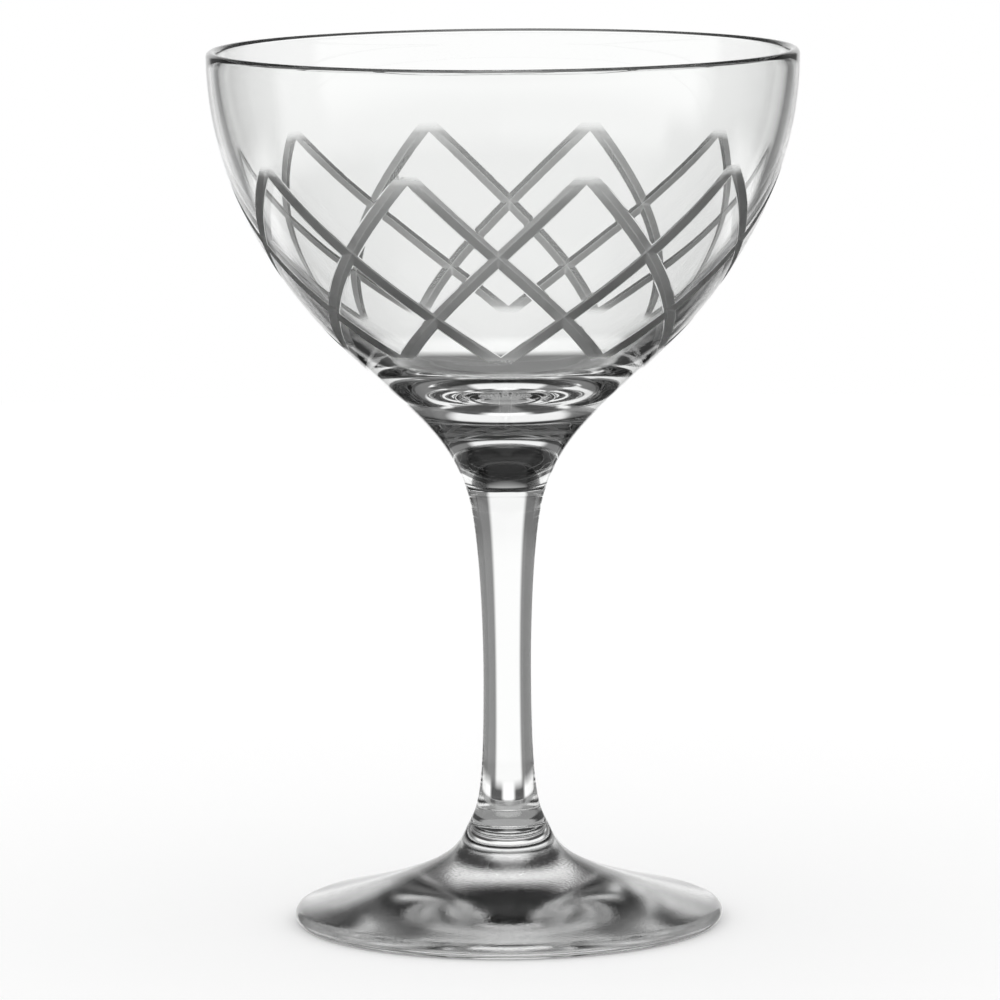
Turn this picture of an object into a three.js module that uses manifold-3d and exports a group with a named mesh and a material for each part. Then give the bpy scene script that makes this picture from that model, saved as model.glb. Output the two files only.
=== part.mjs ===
// Cocktail glass: a wide bowl with a cut diamond band, on a drawn stem and a spread foot.
// Three pieces of clear glass, each gathered and shaped by itself and fused hot to the next.
// Millimetres and degrees, +Z up. The origin lies on the table under the middle of the foot.
import * as THREE from 'three';
import { mergeVertices } from 'three/addons/utils/BufferGeometryUtils.js';
import Module from 'manifold-3d';

// Foot
const FOOT_DIAMETER = 68.6;
const FOOT_HEIGHT = 16;
const FOOT_EDGE = 2.7;
const FOOT_TOP_SLOPE = 14;
const FOOT_HOLLOW = 0.4;
const STANDING_RING_WIDTH = 5;
const FOOT_PULL = [0.87, 0.17];

// Stem
const STEM_LENGTH = 54;
const STEM_DIAMETER = 7.7;
const STEM_SLIM_HEIGHT = 24;
const STEM_FOOT_DIAMETER = 12.4;
const STEM_FOOT_FLARE = 27;
const STEM_BOWL_DIAMETER = 12.8;
const STEM_BOWL_FLARE = 20;
const STEM_LOW_PULL = [0.12, 0.8];
const STEM_HIGH_PULL = [0.17, 0.22];

// Bowl
const BOWL_HEIGHT = 70;
const RIM_DIAMETER = 94;
const RIM_WALL = 1.7;
const WAIST_DIAMETER = 48.2;
const WAIST_HEIGHT = 21.1;
const WAIST_FLARE = 47.5;
const WAIST_WALL = 3;
const BASE_THICKNESS = 16;
const BASE_PULL = [0.33, 0.51];
const WALL_PULL = [0.22, 0.43];
const WELL_PULL = [0.34, 0.36];

// Diamond band: straight wheel cuts that run down the wall both ways at one slant
const CUT_COUNT = 10;
const CUT_ROWS = 3;
const CUT_BELOW_LIP = 15.7;
const CUT_SLANT = 42.5;
const CUT_WIDTH = 2.2;
const CUT_DEPTH = 0.7;
const CUT_STOP = 1;
const CUT_RUN_OUT = 5;
const CUT_CLEARANCE = 0.5;

// Facets of the turned pieces and of the cuts
const ROUND_STEPS = 60;
const WALL_STEPS = 12;
const BEND_STEPS = 6;
const LIP_STEPS = 4;
const STEPS_PER_ROW = 5;

const wasm = await Module();
wasm.setup();

const radians = THREE.MathUtils.degToRad;
const point = (radius, height) => new THREE.Vector2(radius, height);
// Direction of an outline, given by its lean from upright
const lean = (degrees) => point(Math.sin(radians(degrees)), Math.cos(radians(degrees)));

// A smooth line between two points. A pull says how far, as a share of the span, an end holds its way.
function sweep(from, leaving, to, arriving, [pullFrom, pullTo]) {
  const span = from.distanceTo(to);
  const first = from.clone().addScaledVector(leaving, pullFrom * span);
  const second = to.clone().addScaledVector(arriving, -pullTo * span);
  return new THREE.CubicBezierCurve(from, first, second, to);
}

// Points of a round edge, from one angle to another about its centre
function roundEdge(centre, radius, fromAngle, toAngle) {
  const arc = new THREE.EllipseCurve(
    centre.x, centre.y, radius, radius, radians(fromAngle), radians(toAngle), toAngle < fromAngle);
  return arc.getPoints(LIP_STEPS);
}

// Shared vertices merged, and the empty triangles on the axis dropped
function welded(geometry) {
  geometry.deleteAttribute('normal');
  geometry.deleteAttribute('uv');
  const merged = mergeVertices(geometry);
  const index = Array.from(merged.index.array);
  const kept = [];
  for (let i = 0; i < index.length; i += 3) {
    const [a, b, c] = index.slice(i, i + 3);
    if (a !== b && b !== c && c !== a) kept.push(a, b, c);
  }
  merged.setIndex(kept);
  return merged;
}

// A turned piece: its outline runs from the axis, up the outside and back to the axis
function turned(outline) {
  const geometry = new THREE.LatheGeometry(outline, ROUND_STEPS);
  geometry.rotateX(Math.PI / 2);
  return welded(geometry);
}

function solidOf(geometry) {
  const vertProperties = new Float32Array(geometry.attributes.position.array);
  const triVerts = new Uint32Array(geometry.index.array);
  return new wasm.Manifold(new wasm.Mesh({ numProp: 3, vertProperties, triVerts }));
}

function geometryOf(solid) {
  const mesh = solid.getMesh();
  const geometry = new THREE.BufferGeometry();
  geometry.setAttribute('position', new THREE.BufferAttribute(mesh.vertProperties, 3));
  geometry.setIndex(new THREE.BufferAttribute(mesh.triVerts, 1));
  return geometry;
}

function glassPiece(name, geometry, height) {
  const material = new THREE.MeshStandardMaterial({
    color: 0xf3f6f4, roughness: 0.04, metalness: 0, transparent: true, opacity: 0.35,
  });
  const piece = new THREE.Mesh(geometry, material);
  geometry.computeVertexNormals();
  piece.name = name;
  piece.position.z = height;
  return piece;
}

// Foot: a bull-nosed disc that rises to the stem, hollow underneath inside the ring it stands on
function makeFoot() {
  const edgeRadius = FOOT_EDGE / 2;
  const ringRadius = FOOT_DIAMETER / 2 - edgeRadius;
  const joint = point(STEM_FOOT_DIAMETER / 2, FOOT_HEIGHT);
  const hollow = new THREE.QuadraticBezierCurve(
    point(0, FOOT_HOLLOW), point((ringRadius - STANDING_RING_WIDTH) / 2, FOOT_HOLLOW),
    point(ringRadius - STANDING_RING_WIDTH, 0));
  const edge = roundEdge(point(ringRadius, edgeRadius), edgeRadius, -90, 90 - FOOT_TOP_SLOPE);
  const top = sweep(
    edge.at(-1), lean(FOOT_TOP_SLOPE - 90), joint, lean(-STEM_FOOT_FLARE), FOOT_PULL);
  return turned([
    ...hollow.getPoints(BEND_STEPS),
    ...edge,
    ...top.getPoints(WALL_STEPS).slice(1),
    point(0, FOOT_HEIGHT)]);
}

// Stem: drawn slim between its two fused ends
function makeStem() {
  const slim = point(STEM_DIAMETER / 2, STEM_SLIM_HEIGHT);
  const low = sweep(
    point(STEM_FOOT_DIAMETER / 2, 0), lean(-STEM_FOOT_FLARE), slim, lean(0), STEM_LOW_PULL);
  const high = sweep(
    slim, lean(0), point(STEM_BOWL_DIAMETER / 2, STEM_LENGTH), lean(STEM_BOWL_FLARE), STEM_HIGH_PULL);
  return turned([
    point(0, 0),
    ...low.getPoints(BEND_STEPS),
    ...high.getPoints(BEND_STEPS).slice(1),
    point(0, STEM_LENGTH)]);
}

// Outside of the bowl: hollow over the stem up to the waist, then full up to the lip
function bowlOutside() {
  const waist = point(WAIST_DIAMETER / 2, WAIST_HEIGHT);
  const base = sweep(
    point(STEM_BOWL_DIAMETER / 2, 0), lean(STEM_BOWL_FLARE), waist, lean(WAIST_FLARE), BASE_PULL);
  const wall = sweep(
    waist, lean(WAIST_FLARE), point(RIM_DIAMETER / 2, BOWL_HEIGHT - RIM_WALL / 2), lean(0), WALL_PULL);
  return { base, wall };
}

// Inside of the bowl: the wall set in by a thickness that grows from lip to waist, then a round well
function bowlInside(wall) {
  const inner = [];
  for (let step = WALL_STEPS; step >= 0; step--) {
    const share = step / WALL_STEPS;
    const along = wall.getTangent(share);
    const thickness = THREE.MathUtils.lerp(WAIST_WALL, RIM_WALL, share);
    inner.push(wall.getPoint(share).addScaledVector(point(-along.y, along.x), thickness));
  }
  const floor = point(0, BASE_THICKNESS);
  const well = sweep(inner.at(-1), lean(WAIST_FLARE - 180), floor, lean(-90), WELL_PULL);
  return [...inner, ...well.getPoints(BEND_STEPS).slice(1)];
}

// Stations of one cut down the outside, evenly spaced in turn, with the wall's place and lean at each
function cutStations({ base, wall }) {
  const outside = new THREE.CurvePath();
  outside.add(base);
  outside.add(wall);
  const length = outside.getLength();
  const at = (belowLip) => outside.getPointAt(1 - belowLip / length);
  const steps = CUT_ROWS * STEPS_PER_ROW;
  const turnStep = Math.PI / CUT_COUNT / STEPS_PER_ROW;
  const drop = (belowLip) => at(belowLip).x * turnStep / Math.tan(radians(CUT_SLANT));
  const stations = [];
  let belowLip = CUT_BELOW_LIP;
  for (let step = 0; step <= steps; step++) {
    const up = outside.getTangentAt(1 - belowLip / length);
    stations.push({ turn: step * turnStep, place: at(belowLip), up, belowLip });
    belowLip += drop(belowLip + drop(belowLip) / 2);
  }
  return stations;
}

// The body that one wheel cut takes away: a V that lifts out on an arc before it meets the next cut
function cutBody(stations, startTurn, hand) {
  const positions = [];
  const first = stations[0].belowLip;
  const last = stations.at(-1).belowLip;
  for (const { turn, place, up, belowLip } of stations) {
    const angle = startTurn + hand * turn;
    const outward = new THREE.Vector3(Math.cos(angle), Math.sin(angle), 0);
    const round = new THREE.Vector3(-Math.sin(angle), Math.cos(angle), 0);
    const centre = outward.clone().multiplyScalar(place.x).setZ(place.y);
    const normal = outward.clone().multiplyScalar(up.y).setZ(-up.x);
    const down = outward.clone().multiplyScalar(-up.x).setZ(-up.y);
    const slant = radians(CUT_SLANT);
    const along = down.multiplyScalar(Math.cos(slant)).addScaledVector(round, hand * Math.sin(slant));
    const across = normal.clone().cross(along);
    const toEnd = Math.min(belowLip - first - CUT_STOP, last - belowLip - CUT_STOP, CUT_RUN_OUT);
    const lifted = CUT_DEPTH * (1 - (1 - toEnd / CUT_RUN_OUT) ** 2);
    const depth = Math.max(lifted, -CUT_CLEARANCE / 2);
    const halfWidth = CUT_WIDTH / 2 / CUT_DEPTH * (depth + CUT_CLEARANCE);
    const brow = centre.clone().addScaledVector(normal, CUT_CLEARANCE);
    positions.push(
      ...brow.clone().addScaledVector(across, halfWidth).toArray(),
      ...centre.clone().addScaledVector(normal, -depth).toArray(),
      ...brow.clone().addScaledVector(across, -halfWidth).toArray());
  }
  const index = [0, 1, 2];
  for (let corner = 0; corner < positions.length / 3 - 3; corner++) {
    const next = corner % 3 === 2 ? corner - 2 : corner + 1;
    index.push(corner, next + 3, next, corner, corner + 3, next + 3);
  }
  const end = positions.length / 3;
  index.push(end - 1, end - 2, end - 3);
  const geometry = new THREE.BufferGeometry();
  geometry.setAttribute('position', new THREE.Float32BufferAttribute(positions, 3));
  geometry.setIndex(index);
  return solidOf(geometry);
}

// Bowl: turned inside and out with a rounded lip, then cut both ways round the wall
function makeBowl() {
  const outside = bowlOutside();
  const lipCentre = point((RIM_DIAMETER - RIM_WALL) / 2, BOWL_HEIGHT - RIM_WALL / 2);
  const blank = turned([
    point(0, 0),
    ...outside.base.getPoints(BEND_STEPS),
    ...outside.wall.getPoints(WALL_STEPS).slice(1),
    ...roundEdge(lipCentre, RIM_WALL / 2, 0, 180).slice(1, -1),
    ...bowlInside(outside.wall)]);
  const stations = cutStations(outside);
  let bowl = solidOf(blank);
  for (let cut = 0; cut < CUT_COUNT; cut++) {
    const startTurn = 2 * Math.PI * cut / CUT_COUNT;
    bowl = bowl.subtract(cutBody(stations, startTurn, 1));
    bowl = bowl.subtract(cutBody(stations, startTurn, -1));
  }
  return geometryOf(bowl);
}

const glass = new THREE.Group();
glass.add(
  glassPiece('foot', makeFoot(), 0),
  glassPiece('stem', makeStem(), FOOT_HEIGHT),
  glassPiece('bowl', makeBowl(), FOOT_HEIGHT + STEM_LENGTH));

export default glass;
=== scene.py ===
import bisect
import math

import bmesh
import bpy
from mathutils import Matrix, Vector
from mathutils.geometry import interpolate_bezier


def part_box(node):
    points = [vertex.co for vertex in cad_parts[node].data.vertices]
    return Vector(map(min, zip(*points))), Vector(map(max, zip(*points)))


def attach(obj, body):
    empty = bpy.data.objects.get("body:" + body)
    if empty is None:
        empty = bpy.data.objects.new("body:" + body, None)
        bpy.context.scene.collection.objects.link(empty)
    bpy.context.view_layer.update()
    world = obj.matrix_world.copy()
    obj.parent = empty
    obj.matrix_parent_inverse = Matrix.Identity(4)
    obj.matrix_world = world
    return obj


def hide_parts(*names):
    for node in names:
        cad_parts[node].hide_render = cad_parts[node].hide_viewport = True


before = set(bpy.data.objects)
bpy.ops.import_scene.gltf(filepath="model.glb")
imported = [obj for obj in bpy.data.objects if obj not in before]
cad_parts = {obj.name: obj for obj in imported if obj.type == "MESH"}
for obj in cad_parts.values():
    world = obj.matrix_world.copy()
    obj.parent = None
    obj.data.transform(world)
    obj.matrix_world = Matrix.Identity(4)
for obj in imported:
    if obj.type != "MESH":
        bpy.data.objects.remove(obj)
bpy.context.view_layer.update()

# Foot
# The spread foot: a gather of clear glass spun out flat, drawn up in a hollow curve to meet the stem.
# It stands on a flat ground ring round a shallow hollow, and its edge is fire-polished to a bull nose.
MM = 0.001
TOUCHING = 0.001 * MM
FOOT_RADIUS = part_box("foot")[1].x
FOOT_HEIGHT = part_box("foot")[1].z
FOOT_EDGE = 2.7 * MM
FOOT_TOP_SLOPE = 14
FOOT_HOLLOW = 0.4 * MM
STANDING_RING_WIDTH = 5 * MM
FOOT_PULL = (0.87, 0.17)
STEM_FOOT_RADIUS = 6.2 * MM
STEM_FOOT_FLARE = 27
FOOT_HOLLOW_STEPS = 20
FOOT_EDGE_STEPS = 14
FOOT_RISE_STEPS = 48
FOOT_SPIN_STEPS = 192
FACING_DOWN = -0.9
POLISHED, JOINED, GROUND = range(3)
GLASS_IOR = 1.52
POLISHED_TINT = (0.985, 0.99, 0.985, 1)
UNDERSIDE_TINT = (0.97, 0.975, 0.97, 1)
UNDERSIDE_ROUGHNESS = (0.03, 0.07)
WAVES_PER_METRE = 60
WAVE_DEPTH = 0.03 * MM
GRAINS_PER_METRE = 2500
GRAIN_DEPTH = 0.02 * MM
GRAIN_SPREAD = (0.3, 0.7)


def place(radius, height):
    """A point of an outline, on the XZ plane."""
    return Vector((radius, 0, height))


def lean(degrees):
    """The direction of an outline that leans outwards from upright."""
    return Vector((math.sin(math.radians(degrees)), 0, math.cos(math.radians(degrees))))


def sweep(start, leaving, end, arriving, pulls, steps):
    """Points of a smooth line. Each pull says how far, as a share of the span, an end holds its way."""
    span = (end - start).length
    return interpolate_bezier(
        start, start + leaving * pulls[0] * span, end - arriving * pulls[1] * span, end, steps)


def round_edge(centre, radius, first, last, steps):
    """Points of a rounded edge about its centre, from one angle to another."""
    angles = [math.radians(first + (last - first) * step / steps) for step in range(steps + 1)]
    return [centre + radius * place(math.cos(angle), math.sin(angle)) for angle in angles]


def turned(outline, steps):
    """A bmesh of an outline spun about the axis, closed on the axis at both ends."""
    bm = bmesh.new()
    verts = [bm.verts.new(point) for point in outline]
    edges = [bm.edges.new(pair) for pair in zip(verts, verts[1:])]
    bmesh.ops.spin(
        bm, geom=verts + edges, cent=(0, 0, 0), axis=(0, 0, 1),
        angle=math.tau, steps=steps, use_merge=True)
    bmesh.ops.remove_doubles(bm, verts=bm.verts, dist=TOUCHING)
    bmesh.ops.recalc_face_normals(bm, faces=bm.faces)
    return bm


def glass_piece(bm, name, materials):
    """The finished piece, smooth, with its polished, joined and ground glass, in that order."""
    mesh = bpy.data.meshes.new(name)
    for face in bm.faces:
        face.smooth = True
    bm.to_mesh(mesh)
    bm.free()
    ground_faces = [face for face in mesh.polygons if face.material_index == GROUND]
    ground = {corner for face in ground_faces for corner in face.vertices}
    normals = []
    for vert in mesh.vertices:
        round_about = Vector((-vert.co.y, vert.co.x, 0)).normalized()
        turned_true = vert.normal - round_about * vert.normal.dot(round_about)
        normals.append(Vector() if vert.index in ground else turned_true.normalized())
    mesh.normals_split_custom_set_from_vertices(normals)
    for material in materials:
        mesh.materials.append(material)
    piece = bpy.data.objects.new(name + "_glass", mesh)
    bpy.context.scene.collection.objects.link(piece)
    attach(piece, "root")
    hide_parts(name)
    return piece


def node(tree, kind, **values):
    """A node with its settings and inputs: a socket is linked, anything else is set."""
    made = tree.nodes.new("ShaderNode" + kind)
    inputs = values.pop("inputs", {})
    for name, value in values.items():
        setattr(made, name, value)
    for key, value in inputs.items():
        if isinstance(value, bpy.types.NodeSocket):
            tree.links.new(value, made.inputs[key])
        else:
            made.inputs[key].default_value = value
    return made


def clear_glass(name, tint_and_shade=POLISHED_TINT):
    """Colourless glass with the faint waves that hot working leaves; the cuts' copy carries painted
    shade in its colour.
    """
    material = bpy.data.materials.new(name)
    material.use_nodes = True
    tree = material.node_tree
    shader = tree.nodes["Principled BSDF"]
    shader.inputs["Base Color"].default_value = tint_and_shade
    shader.inputs["Transmission Weight"].default_value = 1
    shader.inputs["IOR"].default_value = GLASS_IOR
    shader.inputs["Roughness"].default_value = 0
    spot = node(tree, "TexCoord").outputs["Object"]
    waves = node(tree, "TexNoise", inputs={"Vector": spot, "Scale": WAVES_PER_METRE, "Detail": 1.0})
    bump = node(tree, "Bump", inputs={
        "Height": waves.outputs[0], "Distance": WAVE_DEPTH, "Strength": 1.0})
    tree.links.new(bump.outputs[0], shader.inputs["Normal"])
    return material


def ground_glass(name, tint_and_shade, roughness):
    """Glass that a stone has cut and left satin, with its fine grain; on the cuts its colour is painted
    shade.
    """
    material = clear_glass(name, tint_and_shade)
    tree = material.node_tree
    shader = tree.nodes["Principled BSDF"]
    spot = node(tree, "TexCoord").outputs["Object"]
    grain = node(tree, "TexNoise", inputs={"Vector": spot, "Scale": GRAINS_PER_METRE, "Detail": 2.0})
    rough = node(tree, "MapRange", inputs={
        0: grain.outputs[0], 1: GRAIN_SPREAD[0], 2: GRAIN_SPREAD[1], 3: roughness[0], 4: roughness[1]})
    tree.links.new(rough.outputs[0], shader.inputs["Roughness"])
    bump = tree.nodes["Bump"]
    tree.links.new(grain.outputs[0], bump.inputs["Height"])
    bump.inputs["Distance"].default_value = GRAIN_DEPTH
    return material


def fused_joint():
    """The face where two gathers became one: nothing shows of it inside the glass."""
    material = bpy.data.materials.new("fused_joint")
    material.use_nodes = True
    shader = material.node_tree.nodes["Principled BSDF"]
    shader.inputs["Transmission Weight"].default_value = 1
    shader.inputs["Alpha"].default_value = 0
    return material


def mark_faces(bm, index, wanted):
    """Gives the faces that are wanted another of the piece's materials."""
    for face in bm.faces:
        if wanted(face):
            face.material_index = index


def lies_at(height):
    """Tells the flat face at one height."""
    return lambda face: all(abs(vert.co.z - height) < TOUCHING for vert in face.verts)


def lies_below(face):
    """Tells a face of the foot's underside."""
    return face.calc_center_median().z < FOOT_HOLLOW and face.normal.z < FACING_DOWN


polished = clear_glass("polished_glass")
joint = fused_joint()
ring_radius = FOOT_RADIUS - FOOT_EDGE / 2
hollow_radius = ring_radius - STANDING_RING_WIDTH
foot_hollow = interpolate_bezier(
    place(0, FOOT_HOLLOW), place(hollow_radius / 3, FOOT_HOLLOW),
    place(hollow_radius * 2 / 3, FOOT_HOLLOW * 2 / 3), place(hollow_radius, 0), FOOT_HOLLOW_STEPS)
foot_edge = round_edge(
    place(ring_radius, FOOT_EDGE / 2), FOOT_EDGE / 2, -90, 90 - FOOT_TOP_SLOPE, FOOT_EDGE_STEPS)
foot_rise = sweep(
    foot_edge[-1], lean(FOOT_TOP_SLOPE - 90),
    place(STEM_FOOT_RADIUS, FOOT_HEIGHT), lean(-STEM_FOOT_FLARE), FOOT_PULL, FOOT_RISE_STEPS)
foot_bm = turned([*foot_hollow, *foot_edge, *foot_rise[1:], place(0, FOOT_HEIGHT)], FOOT_SPIN_STEPS)
mark_faces(foot_bm, JOINED, lies_at(FOOT_HEIGHT))
mark_faces(foot_bm, GROUND, lies_below)
underside = ground_glass("chilled_glass", UNDERSIDE_TINT, UNDERSIDE_ROUGHNESS)
glass_piece(foot_bm, "foot", [polished, joint, underside])

# Stem
# A solid rod of clear glass, drawn out of a gather until it is slimmest low down.
# Both ends are left wide, where they are fused to the foot and the bowl.
STEM_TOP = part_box("stem")[1].z
STEM_RADIUS = 3.85 * MM
STEM_SLIM_HEIGHT = FOOT_HEIGHT + 24 * MM
STEM_BOWL_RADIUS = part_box("stem")[1].x
STEM_BOWL_FLARE = 20
STEM_LOW_PULL = (0.12, 0.8)
STEM_HIGH_PULL = (0.17, 0.22)
STEM_STEPS = 36
STEM_SPIN_STEPS = 96

slim = place(STEM_RADIUS, STEM_SLIM_HEIGHT)
stem_low = sweep(
    place(STEM_FOOT_RADIUS, FOOT_HEIGHT), lean(-STEM_FOOT_FLARE), slim, lean(0),
    STEM_LOW_PULL, STEM_STEPS)
stem_high = sweep(
    slim, lean(0), place(STEM_BOWL_RADIUS, STEM_TOP), lean(STEM_BOWL_FLARE),
    STEM_HIGH_PULL, STEM_STEPS)
stem_bm = turned(
    [place(0, FOOT_HEIGHT), *stem_low, *stem_high[1:], place(0, STEM_TOP)], STEM_SPIN_STEPS)
mark_faces(stem_bm, JOINED, lies_at(FOOT_HEIGHT))
mark_faces(stem_bm, JOINED, lies_at(STEM_TOP))
glass_piece(stem_bm, "stem", [polished, joint])

# Bowl
# The cup: thin at its rounded lip, solid over the stem, with a band of V cuts made on a wheel.
# The cuts run down the wall both ways at one slant, cross as diamonds and lift out at both ends.
RIM_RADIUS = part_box("bowl")[1].x
RIM_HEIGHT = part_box("bowl")[1].z
RIM_WALL = 1.7 * MM
WAIST = place(24.1 * MM, STEM_TOP + 21.1 * MM)
WAIST_FLARE = 47.5
WAIST_WALL = 3 * MM
WELL_FLOOR = place(0, STEM_TOP + 16 * MM)
BASE_PULL = (0.33, 0.51)
WALL_PULL = (0.22, 0.43)
WELL_PULL = (0.34, 0.36)
CUT_COUNT = 10
CUT_ROWS = 3
CUT_BELOW_LIP = 15.7 * MM
CUT_SLANT = 42.5
CUT_WIDTH = 2.2 * MM
CUT_DEPTH = 0.7 * MM
CUT_STOP = 1 * MM
CUT_RUN_OUT = 5 * MM
CUT_FADE = 1.8 * MM
# The cuts' grey is painted shade that stands in for the shade in the grooves; their satin and grain are
# real
CUT_PAINTED_SHADE = (0.48, 0.485, 0.48, 1)
CUT_ROUGHNESS = (0.5, 0.75)
# The lines of the net beside a cut, as shares of half its width
CUT_STEPS = (0, 0.12, 0.5, 0.88, 1, 1.18, 1.5)
FACET_STEPS = 9
NET_ROUNDS = 4
SMALL_TURN = 0.001
OUTLINE_STEPS = 400
LIP_STEPS = 12
INNER_STEPS = 44
WELL_STEPS = 24
ABOVE_BAND_STEPS = 14
BELOW_BAND_STEPS = 34

base_line = sweep(
    place(STEM_BOWL_RADIUS, STEM_TOP), lean(STEM_BOWL_FLARE), WAIST, lean(WAIST_FLARE),
    BASE_PULL, OUTLINE_STEPS)
wall_line = sweep(
    WAIST, lean(WAIST_FLARE), place(RIM_RADIUS, RIM_HEIGHT - RIM_WALL / 2), lean(0),
    WALL_PULL, OUTLINE_STEPS)
outside = [*reversed(wall_line), *reversed(base_line[:-1])]

# How far below the lip each point of the outside lies, and how far round a slanted cut has run by there
below_lip = [0]
turn_at = [0]
for above, below in zip(outside, outside[1:]):
    step = (below - above).length
    below_lip.append(below_lip[-1] + step)
    turn_at.append(turn_at[-1] + math.tan(math.radians(CUT_SLANT)) * step * 2 / (above.x + below.x))


def between(value, values, results):
    """Reads a result off a rising table."""
    after = min(max(bisect.bisect_left(values, value), 1), len(values) - 1)
    share = (value - values[after - 1]) / (values[after] - values[after - 1])
    return results[after - 1] + (results[after] - results[after - 1]) * share


half_pitch = math.pi / CUT_COUNT
first_turn = between(CUT_BELOW_LIP, below_lip, turn_at)
last_turn = first_turn + CUT_ROWS * half_pitch
band_top = CUT_BELOW_LIP
band_bottom = between(last_turn, turn_at, below_lip)


def run_out(turn):
    """The share of the full depth that the wheel is in by here."""
    down = between(first_turn + turn, turn_at, below_lip)
    to_end = min(down - band_top, band_bottom - down) - CUT_STOP
    return 1 - (1 - min(max(to_end, 0), CUT_RUN_OUT) / CUT_RUN_OUT) ** 2


def across(step, cut_half_width):
    """Turn from a cut to one of the lines beside it, and the share of the way out of the cut."""
    last = len(CUT_STEPS) - 1
    if step <= last:
        return CUT_STEPS[step] * cut_half_width, CUT_STEPS[step]
    if step <= last + FACET_STEPS:
        start = CUT_STEPS[last] * cut_half_width
        return start + (half_pitch - start) * (step - last) / FACET_STEPS, 2
    turn, share = across(2 * (last + FACET_STEPS) - step, cut_half_width)
    return 2 * half_pitch - turn, share


def cut_wall(column, left_step, right_step):
    """The point of the cut wall where two lines of the diamond net cross."""
    turn = column * half_pitch
    level_width = CUT_WIDTH / 2 / math.cos(math.radians(CUT_SLANT))
    for _ in range(NET_ROUNDS):
        half_width = level_width / between(first_turn + turn, turn_at, outside).x
        left, left_share = across(left_step, half_width)
        right, right_share = across(right_step, half_width)
        turn = column * half_pitch + (left - right) / 2
    angle = column * half_pitch + (left + right) / 2
    spot = between(first_turn + turn, turn_at, outside)
    ahead = between(first_turn + turn + SMALL_TURN, turn_at, outside)
    down = (ahead - spot).normalized()
    inward = Vector((down.z, 0, -down.x))
    depth = CUT_DEPTH * run_out(turn) * max(1 - left_share, 1 - right_share, 0)
    spot = spot + inward * depth
    return Vector((spot.x * math.cos(angle), spot.x * math.sin(angle), spot.z))


def cut_band():
    """One pitch of the diamond net, then copies of it all the way round."""
    lines = 2 * (len(CUT_STEPS) - 1 + FACET_STEPS)
    bm = bmesh.new()
    for column in range(CUT_ROWS + 1):
        patch = bmesh.ops.create_grid(bm, x_segments=lines, y_segments=lines, size=1)["verts"]
        keep_side = {0: 1, CUT_ROWS: -1}.get(column)
        if keep_side:
            geom = {face for vert in patch for face in vert.link_faces}
            geom |= {edge for vert in patch for edge in vert.link_edges} | set(patch)
            half = bmesh.ops.bisect_plane(
                bm, geom=list(geom), plane_co=(0, 0, 0), plane_no=(-keep_side, keep_side, 0),
                clear_outer=True)
            patch = {item for item in half["geom"] if isinstance(item, bmesh.types.BMVert)}
        for face in {face for vert in patch for face in vert.link_faces}:
            centre = face.calc_center_median()
            to_cut = min(1 - abs(centre.x), 1 - abs(centre.y)) / 2 * lines
            face.material_index = GROUND if to_cut < CUT_STEPS.index(1) else POLISHED
        for vert in patch:
            left_step = round((vert.co.x + 1) / 2 * lines)
            right_step = round((vert.co.y + 1) / 2 * lines)
            vert.co = cut_wall(column, left_step, right_step)
    bmesh.ops.spin(
        bm, geom=bm.verts[:] + bm.edges[:] + bm.faces[:], cent=(0, 0, 0), axis=(0, 0, 1),
        angle=math.tau * (CUT_COUNT - 1) / CUT_COUNT, steps=CUT_COUNT - 1, use_duplicate=True)
    bmesh.ops.remove_doubles(bm, verts=bm.verts, dist=TOUCHING)
    return bm


def grow(bm, edges, outline):
    """Draws an open edge of the wall on, step by step, along an outline that may end on the axis."""
    for point in outline:
        made = bmesh.ops.extrude_edge_only(bm, edges=edges)["geom"]
        verts = [item for item in made if isinstance(item, bmesh.types.BMVert)]
        edges = [item for item in made if isinstance(item, bmesh.types.BMEdge)]
        for face in {face for edge in edges for face in edge.link_faces}:
            face.material_index = POLISHED
        if point.x == 0:
            bmesh.ops.pointmerge(bm, verts=verts, merge_co=point)
            return
        for vert in verts:
            radius = math.hypot(vert.co.x, vert.co.y)
            vert.co = Vector((vert.co.x * point.x / radius, vert.co.y * point.x / radius, point.z))


def spaced(points, steps):
    """Every so many points of a fine outline, without the first."""
    return [points[round(step * (len(points) - 1) / steps)] for step in range(1, steps + 1)]


def inner_wall(steps):
    """The wall set in by a thickness that grows from lip to waist."""
    points = []
    for step in range(steps + 1):
        at = round((1 - step / steps) * (len(wall_line) - 2))
        along = (wall_line[at + 1] - wall_line[at]).normalized()
        thickness = RIM_WALL + (WAIST_WALL - RIM_WALL) * step / steps
        points.append(wall_line[at] + thickness * Vector((-along.z, 0, along.x)))
    return points


def lifted_out(material):
    """Fades the satin and the painted shade of the cuts to clear polish at both ends, where the wheel
    leaves the glass.
    """
    tree = material.node_tree
    shader = tree.nodes["Principled BSDF"]
    spot = node(tree, "TexCoord").outputs["Object"]
    height = node(tree, "SeparateXYZ", inputs={0: spot}).outputs["Z"]
    fades = []
    for end, way in ((band_top, 1), (band_bottom, -1)):
        edge = between(end, below_lip, outside).z
        full = between(end + way * CUT_FADE, below_lip, outside).z
        fades.append(node(tree, "MapRange", inputs={0: height, 1: edge, 2: full}).outputs[0])
    share = node(tree, "Math", operation="MINIMUM", inputs={0: fades[0], 1: fades[1]}).outputs[0]
    rough = shader.inputs["Roughness"].links[0].from_socket
    faded = node(tree, "Math", operation="MULTIPLY", inputs={0: rough, 1: share})
    tree.links.new(faded.outputs[0], shader.inputs["Roughness"])
    # The cuts' painted shade, fading to the clear tint where the wheel lifts out
    tint_and_shade = node(tree, "Mix", data_type="RGBA", inputs={0: share, 6: POLISHED_TINT, 7: CUT_PAINTED_SHADE})
    tree.links.new(tint_and_shade.outputs[2], shader.inputs["Base Color"])
    return material


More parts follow.
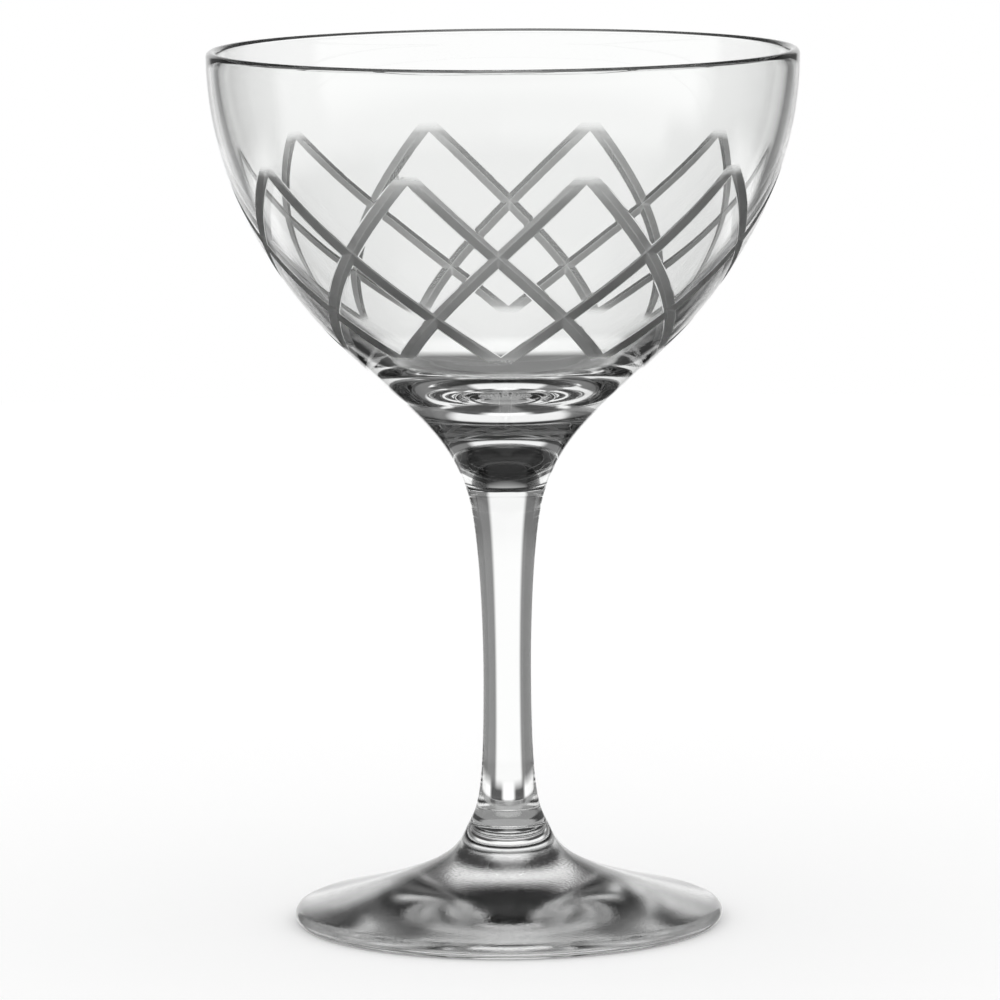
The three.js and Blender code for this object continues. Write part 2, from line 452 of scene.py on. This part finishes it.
bowl_bm = cut_band()
band_middle = between((band_top + band_bottom) / 2, below_lip, outside).z
open_edges = [edge for edge in bowl_bm.edges if edge.is_boundary]
upper = [edge for edge in open_edges if edge.verts[0].co.z > band_middle]
lower = [edge for edge in open_edges if edge.verts[0].co.z <= band_middle]
top_at = bisect.bisect_left(below_lip, band_top)
bottom_at = bisect.bisect_left(below_lip, band_bottom)
lip_centre = place(RIM_RADIUS - RIM_WALL / 2, RIM_HEIGHT - RIM_WALL / 2)
lip = round_edge(lip_centre, RIM_WALL / 2, 0, 180, LIP_STEPS)[1:-1]
inner = inner_wall(INNER_STEPS)
well = sweep(inner[-1], lean(WAIST_FLARE - 180), WELL_FLOOR, lean(-90), WELL_PULL, WELL_STEPS)
above_band = spaced(outside[top_at - 1::-1], ABOVE_BAND_STEPS)
grow(bowl_bm, upper, [*above_band, *lip, *inner, *well[1:-1], WELL_FLOOR])
below_band = spaced(outside[bottom_at:], BELOW_BAND_STEPS)
grow(bowl_bm, lower, [*below_band, place(0, STEM_TOP)])
bmesh.ops.recalc_face_normals(bowl_bm, faces=bowl_bm.faces)
mark_faces(bowl_bm, JOINED, lies_at(STEM_TOP))
# The cuts are satin glass with painted shade as their grey colour
shaded_cuts = lifted_out(ground_glass("cut_glass_painted_shade", CUT_PAINTED_SHADE, CUT_ROUGHNESS))
glass_piece(bowl_bm, "bowl", [polished, joint, shaded_cuts])

# Studio
# A pale floor, and soft light from panels that stand in three rings round the glass, one above another.
# A panel is given by its heading, half its width and its level, with angles in degrees.
# The camera stands a step back and a little above the rim.
CAMERA_DISTANCE = 1.1
CAMERA_HEIGHT = 0.218
CAMERA_TURN = 1.45
CAMERA_TILT = 7.77
CAMERA_ROLL = 0.42
CAMERA_ASIDE = -0.96 * MM
CAMERA_LENS = 250.5
CAMERA_CLOSEST = 0.01
FLOOR_RADIUS = 0.7
FLOOR_SIDES = 96
FLOOR_COLOUR = (0.82, 0.82, 0.82, 1)
FLOOR_ROUGHNESS = 0.8
FLOOR_GLOW = 0.2
EYE_RING = ((-3, 19, 1.0), (-144, 60, 1.0), (158, 60, 1.0))
MIDDLE_RING = ((-2, 6, 1.2), (-48, 17, 1.1), (48, 17, 1.1), (-136, 60, 0.9), (170, 60, 1.1))
LOW_RING = ((-3, 4, 0.25), (-50, 14, 0.4), (50, 14, 0.4), (-185, 60, 0.3), (173, 60, 0.3))
EYE_RING_GAPS = 0.2
MIDDLE_RING_GAPS = 0.05
LOW_RING_GAPS = 0.06
PANEL_EDGE = 5
MIDDLE_RING_TOP = -19
LOW_RING_TOP = -28
RING_EDGE = 2
LIGHT_BAND = ((10.5, 1), (22, 0.015))
UNDER_LIGHT = ((-60, 0.4), (-53, 0))
GLASS_BOUNCES = 32
GLOSS_BOUNCES = 16

camera = bpy.data.objects.new("camera", bpy.data.cameras.new("camera"))
bpy.context.scene.collection.objects.link(camera)
stand = Matrix.Translation((CAMERA_ASIDE, -CAMERA_DISTANCE, CAMERA_HEIGHT))
aim = Matrix.Rotation(math.radians(CAMERA_TURN), 4, "Z") @ stand
aim = aim @ Matrix.Rotation(math.radians(90 - CAMERA_TILT), 4, "X")
camera.matrix_world = aim @ Matrix.Rotation(math.radians(-CAMERA_ROLL), 4, "Z")
camera.data.lens = CAMERA_LENS
camera.data.clip_start = CAMERA_CLOSEST
bpy.context.scene.camera = camera

floor_bm = bmesh.new()
bmesh.ops.create_circle(floor_bm, cap_ends=True, segments=FLOOR_SIDES, radius=FLOOR_RADIUS)
floor_mesh = bpy.data.meshes.new("floor")
floor_bm.to_mesh(floor_mesh)
floor_bm.free()
floor = bpy.data.objects.new("floor", floor_mesh)
bpy.context.scene.collection.objects.link(floor)


def levels(tree, position, stops):
    """Brightness read off a list of places, from 0 to 1, and the level at each."""
    ramp = node(tree, "ValToRGB", inputs={0: position})
    elements = ramp.color_ramp.elements
    while len(elements) < len(stops):
        elements.new(0.5)
    for element, (place_on_ramp, level) in zip(elements, sorted(stops)):
        element.position = place_on_ramp
        element.color = (level, level, level, 1)
    return ramp.outputs["Color"]


pale = bpy.data.materials.new("pale_floor")
pale.use_nodes = True
tree = pale.node_tree
shader = tree.nodes["Principled BSDF"]
path = node(tree, "LightPath")
shader.inputs["Base Color"].default_value = FLOOR_COLOUR
shader.inputs["Roughness"].default_value = FLOOR_ROUGHNESS
shader.inputs["Specular IOR Level"].default_value = 0
shader.inputs["Emission Color"].default_value = (1, 1, 1, 1)
glow = node(tree, "Math", operation="MULTIPLY", inputs={0: path.outputs["Is Camera Ray"], 1: FLOOR_GLOW})
tree.links.new(glow.outputs[0], shader.inputs["Emission Strength"])
floor_mesh.materials.append(pale)
floor.visible_transmission = False
floor.visible_glossy = False

world = bpy.data.worlds.new("studio")
bpy.context.scene.world = world
world.cycles.sampling_method = "NONE"
world.use_nodes = True
tree = world.node_tree
background = tree.nodes["Background"]
background.inputs["Color"].default_value = (1, 1, 1, 1)
direction = node(tree, "TexCoord").outputs["Generated"]
axes = node(tree, "SeparateXYZ", inputs={0: direction})
bearing = node(tree, "Math", operation="ARCTAN2", inputs={0: axes.outputs["X"], 1: axes.outputs["Y"]})
bearing = node(tree, "MapRange", inputs={0: bearing.outputs[0], 1: -math.pi, 2: math.pi})
height = node(tree, "MapRange", inputs={0: axes.outputs["Z"], 1: -1, 2: 1})


def ring(panels, gaps):
    """The light from one ring of panels, with the level in its gaps."""
    stops = []
    for heading, half_width, level in panels:
        for offset, stop_level in ((half_width, level), (half_width + PANEL_EDGE, gaps)):
            stops += [((heading + side * offset) / 360 + 0.5, stop_level) for side in (-1, 1)]
    return levels(tree, bearing.outputs[0], [stop for stop in stops if 0 < stop[0] < 1])


def by_height(heights):
    """Levels given by the height that a direction looks at, in degrees above the horizon."""
    stops = [(math.sin(math.radians(angle)) / 2 + 0.5, level) for angle, level in heights]
    return levels(tree, height.outputs[0], stops)


def above_edge(angle):
    """1 above the top of a ring and 0 below it, with a soft edge."""
    return by_height(((angle - RING_EDGE, 0), (angle + RING_EDGE, 1)))


low_rings = node(tree, "MapRange", inputs={
    0: above_edge(LOW_RING_TOP),
    3: ring(LOW_RING, LOW_RING_GAPS),
    4: ring(MIDDLE_RING, MIDDLE_RING_GAPS)})
around = node(tree, "MapRange", inputs={
    0: above_edge(MIDDLE_RING_TOP),
    3: low_rings.outputs[0],
    4: ring(EYE_RING, EYE_RING_GAPS)})
level = node(tree, "Math", operation="MULTIPLY", inputs={0: around.outputs[0], 1: by_height(LIGHT_BAND)})
level = node(tree, "Math", operation="MAXIMUM", inputs={0: level.outputs[0], 1: by_height(UNDER_LIGHT)})
path = node(tree, "LightPath")
plain = node(tree, "Math", operation="MAXIMUM", inputs={
    0: path.outputs["Is Camera Ray"], 1: path.outputs["Is Diffuse Ray"]})
strength = node(tree, "Math", operation="MAXIMUM", inputs={0: level.outputs[0], 1: plain.outputs[0]})
tree.links.new(strength.outputs[0], background.inputs["Strength"])

bpy.context.scene.view_settings.view_transform = "Standard"
bpy.context.scene.cycles.max_bounces = GLASS_BOUNCES
bpy.context.scene.cycles.transmission_bounces = GLASS_BOUNCES
bpy.context.scene.cycles.glossy_bounces = GLOSS_BOUNCES
bpy.context.scene.cycles.transparent_max_bounces = GLASS_BOUNCES
